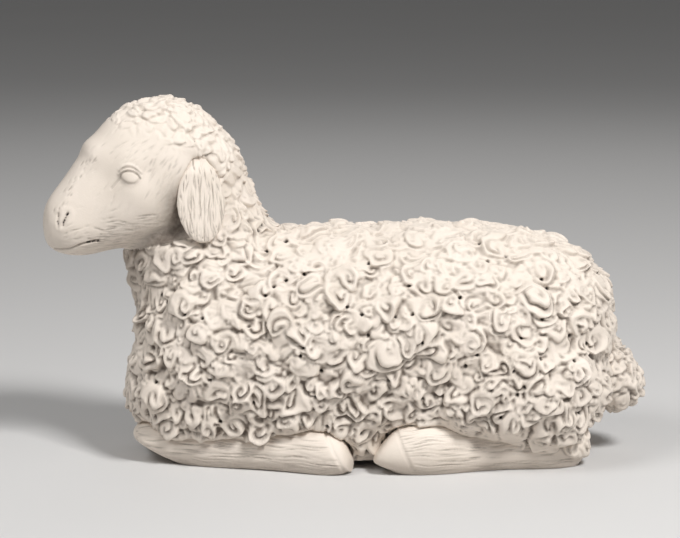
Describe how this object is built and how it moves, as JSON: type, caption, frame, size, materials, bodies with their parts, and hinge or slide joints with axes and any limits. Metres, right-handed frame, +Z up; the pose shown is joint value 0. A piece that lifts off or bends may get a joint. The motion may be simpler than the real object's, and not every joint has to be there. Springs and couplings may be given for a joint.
{
  "type": "sheep figurine",
  "caption": "Reclining sheep ornament cast in matte ivory resin, with a curly fleece body and a separate pinned and glued head, ears, legs, tail and belly plate.",
  "frame": {"origin": "centre of the belly plate's flat underside, on the surface that the figurine lies on", "axes": "+Z up, +X from the breast to the tail so that the head looks along -X, and the animal's left side towards -Y"},
  "size_m": [0.2353, 0.0948, 0.1417],
  "materials": {
    "ivory_resin": "matte ivory paint with a thin grey-beige wash left in the hollows",
    "hardwood": "bare turned dowel",
    "steel": "cut wire"
  },
  "bodies": {
    "root": {"fleece_body": "ivory_resin", "head": "ivory_resin", "ear_left": "ivory_resin", "ear_right": "ivory_resin", "tail": "ivory_resin", "front_leg_left": "ivory_resin", "front_leg_right": "ivory_resin", "hind_leg_left": "ivory_resin", "hind_leg_right": "ivory_resin", "belly_plate": "ivory_resin", "neck_dowel": "hardwood", "ear_pins": "steel", "tail_pin": "steel", "front_leg_pins": "steel", "hind_leg_pins": "steel"}
  },
  "joints": []
}
